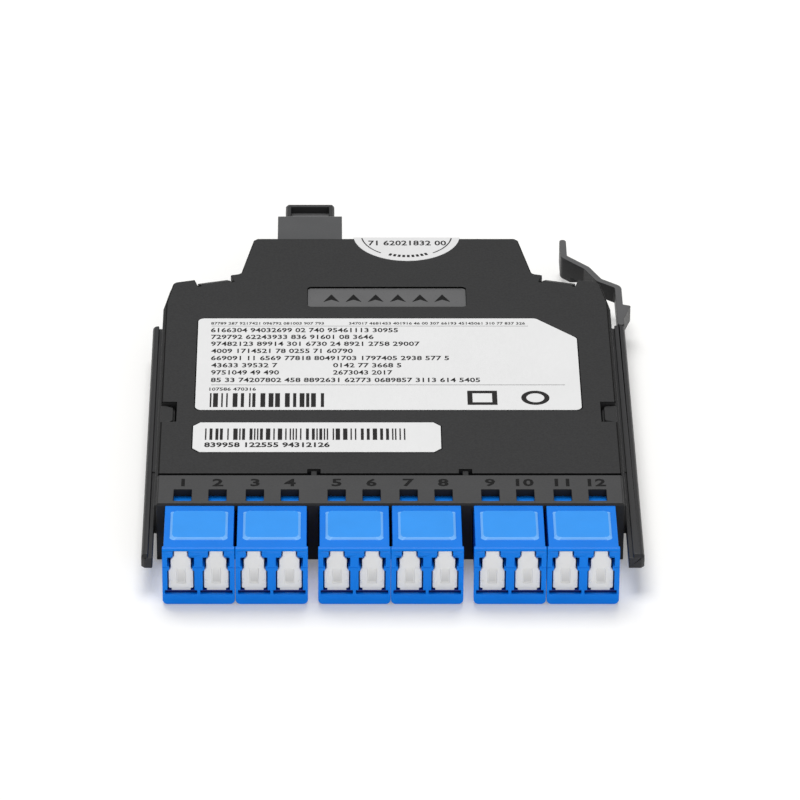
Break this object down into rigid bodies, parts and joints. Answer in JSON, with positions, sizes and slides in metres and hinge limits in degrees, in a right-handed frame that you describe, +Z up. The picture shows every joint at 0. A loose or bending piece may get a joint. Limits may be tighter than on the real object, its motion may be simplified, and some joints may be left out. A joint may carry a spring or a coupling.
{
  "type": "fibre cassette",
  "caption": "Flat fibre cassette: shuttered duplex LC ports in front, a capped multifibre port behind, side rails and a sprung release lever.",
  "frame": {"origin": "on the underside of the housing, on its centreline, at mid-depth of the housing", "axes": "+Y from the LC ports to the rear, +Z up, +X to the right as seen from the ports"},
  "size_m": [0.0908, 0.1333, 0.0118],
  "materials": {
    "housing_plastic": "fine matt",
    "cover_plastic": "fine matt",
    "rail_plastic": "satin",
    "rear_adapter_plastic": "satin",
    "cap_plastic": "satin",
    "adapter_plastic": "semi-gloss",
    "shutter_plastic": "satin",
    "spring_steel": "bright",
    "ceramic_sleeve": "polished",
    "connector_plastic": "semi-gloss",
    "inner_plug_plastic": "satin",
    "fibre_jacket": "satin",
    "label_paper": "smooth",
    "seal_paper": "smooth"
  },
  "bodies": {
    "cassette": {"base_housing": "housing_plastic", "top_cover": "cover_plastic", "left_rail": "rail_plastic", "right_rail": "rail_plastic", "alignment_sleeves": "ceramic_sleeve", "mpo_adapter": "rear_adapter_plastic", "mpo_connector": "inner_plug_plastic", "fibre_ribbon": "fibre_jacket", "fan_out_block": "inner_plug_plastic", "fan_out_tubes": "fibre_jacket", "product_label": "label_paper", "serial_label": "label_paper", "tamper_seal": "seal_paper", "lc_adapter_1": "adapter_plastic", "lc_adapter_2": "adapter_plastic", "lc_adapter_3": "adapter_plastic", "lc_adapter_4": "adapter_plastic", "lc_adapter_5": "adapter_plastic", "lc_adapter_6": "adapter_plastic", "shutter_spring_01": "spring_steel", "lc_connector_01": "connector_plastic", "shutter_spring_02": "spring_steel", "lc_connector_02": "connector_plastic", "shutter_spring_03": "spring_steel", "lc_connector_03": "connector_plastic", "shutter_spring_04": "spring_steel", "lc_connector_04": "connector_plastic", "shutter_spring_05": "spring_steel", "lc_connector_05": "connector_plastic", "shutter_spring_06": "spring_steel", "lc_connector_06": "connector_plastic", "shutter_spring_07": "spring_steel", "lc_connector_07": "connector_plastic", "shutter_spring_08": "spring_steel", "lc_connector_08": "connector_plastic", "shutter_spring_09": "spring_steel", "lc_connector_09": "connector_plastic", "shutter_spring_10": "spring_steel", "lc_connector_10": "connector_plastic", "shutter_spring_11": "spring_steel", "lc_connector_11": "connector_plastic", "shutter_spring_12": "spring_steel", "lc_connector_12": "connector_plastic"},
    "shutter_01": {"shutter_01": "shutter_plastic"},
    "shutter_02": {"shutter_02": "shutter_plastic"},
    "shutter_03": {"shutter_03": "shutter_plastic"},
    "shutter_04": {"shutter_04": "shutter_plastic"},
    "shutter_05": {"shutter_05": "shutter_plastic"},
    "shutter_06": {"shutter_06": "shutter_plastic"},
    "shutter_07": {"shutter_07": "shutter_plastic"},
    "shutter_08": {"shutter_08": "shutter_plastic"},
    "shutter_09": {"shutter_09": "shutter_plastic"},
    "shutter_10": {"shutter_10": "shutter_plastic"},
    "shutter_11": {"shutter_11": "shutter_plastic"},
    "shutter_12": {"shutter_12": "shutter_plastic"},
    "release_lever": {"release_lever": "rail_plastic"},
    "dust_cap": {"mpo_dust_cap": "cap_plastic"}
  },
  "joints": [
    {"name": "shutter_01_hinge", "type": "hinge", "parent": "cassette", "child": "shutter_01", "pos_m": [-0.03712, -0.06345, 0.0021], "axis": [-1, 0, 0], "range_deg": [0, 90], "stiffness_Nm_per_rad": 0.0001, "springref_deg": -22.92},
    {"name": "shutter_02_hinge", "type": "hinge", "parent": "cassette", "child": "shutter_02", "pos_m": [-0.03087, -0.06345, 0.0021], "axis": [-1, 0, 0], "range_deg": [0, 90], "stiffness_Nm_per_rad": 0.0001, "springref_deg": -22.92},
    {"name": "shutter_03_hinge", "type": "hinge", "parent": "cassette", "child": "shutter_03", "pos_m": [-0.0242, -0.06345, 0.0021], "axis": [-1, 0, 0], "range_deg": [0, 90], "stiffness_Nm_per_rad": 0.0001, "springref_deg": -22.92},
    {"name": "shutter_04_hinge", "type": "hinge", "parent": "cassette", "child": "shutter_04", "pos_m": [-0.01794, -0.06345, 0.0021], "axis": [-1, 0, 0], "range_deg": [0, 90], "stiffness_Nm_per_rad": 0.0001, "springref_deg": -22.92},
    {"name": "shutter_05_hinge", "type": "hinge", "parent": "cassette", "child": "shutter_05", "pos_m": [-0.00957, -0.06345, 0.0021], "axis": [-1, 0, 0], "range_deg": [0, 90], "stiffness_Nm_per_rad": 0.0001, "springref_deg": -22.92},
    {"name": "shutter_06_hinge", "type": "hinge", "parent": "cassette", "child": "shutter_06", "pos_m": [-0.00331, -0.06345, 0.0021], "axis": [-1, 0, 0], "range_deg": [0, 90], "stiffness_Nm_per_rad": 0.0001, "springref_deg": -22.92},
    {"name": "shutter_07_hinge", "type": "hinge", "parent": "cassette", "child": "shutter_07", "pos_m": [0.00331, -0.06345, 0.0021], "axis": [-1, 0, 0], "range_deg": [0, 90], "stiffness_Nm_per_rad": 0.0001, "springref_deg": -22.92},
    {"name": "shutter_08_hinge", "type": "hinge", "parent": "cassette", "child": "shutter_08", "pos_m": [0.00957, -0.06345, 0.0021], "axis": [-1, 0, 0], "range_deg": [0, 90], "stiffness_Nm_per_rad": 0.0001, "springref_deg": -22.92},
    {"name": "shutter_09_hinge", "type": "hinge", "parent": "cassette", "child": "shutter_09", "pos_m": [0.01794, -0.06345, 0.0021], "axis": [-1, 0, 0], "range_deg": [0, 90], "stiffness_Nm_per_rad": 0.0001, "springref_deg": -22.92},
    {"name": "shutter_10_hinge", "type": "hinge", "parent": "cassette", "child": "shutter_10", "pos_m": [0.0242, -0.06345, 0.0021], "axis": [-1, 0, 0], "range_deg": [0, 90], "stiffness_Nm_per_rad": 0.0001, "springref_deg": -22.92},
    {"name": "shutter_11_hinge", "type": "hinge", "parent": "cassette", "child": "shutter_11", "pos_m": [0.03087, -0.06345, 0.0021], "axis": [-1, 0, 0], "range_deg": [0, 90], "stiffness_Nm_per_rad": 0.0001, "springref_deg": -22.92},
    {"name": "shutter_12_hinge", "type": "hinge", "parent": "cassette", "child": "shutter_12", "pos_m": [0.03712, -0.06345, 0.0021], "axis": [-1, 0, 0], "range_deg": [0, 90], "stiffness_Nm_per_rad": 0.0001, "springref_deg": -22.92},
    {"name": "release_lever_flex", "type": "hinge", "parent": "cassette", "child": "release_lever", "pos_m": [0.04445, 0.02465, 0.0053], "axis": [0, 0, 1], "range_deg": [0, 12], "stiffness_Nm_per_rad": 0.05},
    {"name": "dust_cap_slide", "type": "slide", "parent": "cassette", "child": "dust_cap", "axis": [0, 1, 0], "range_m": [0, 0.012]}
  ]
}
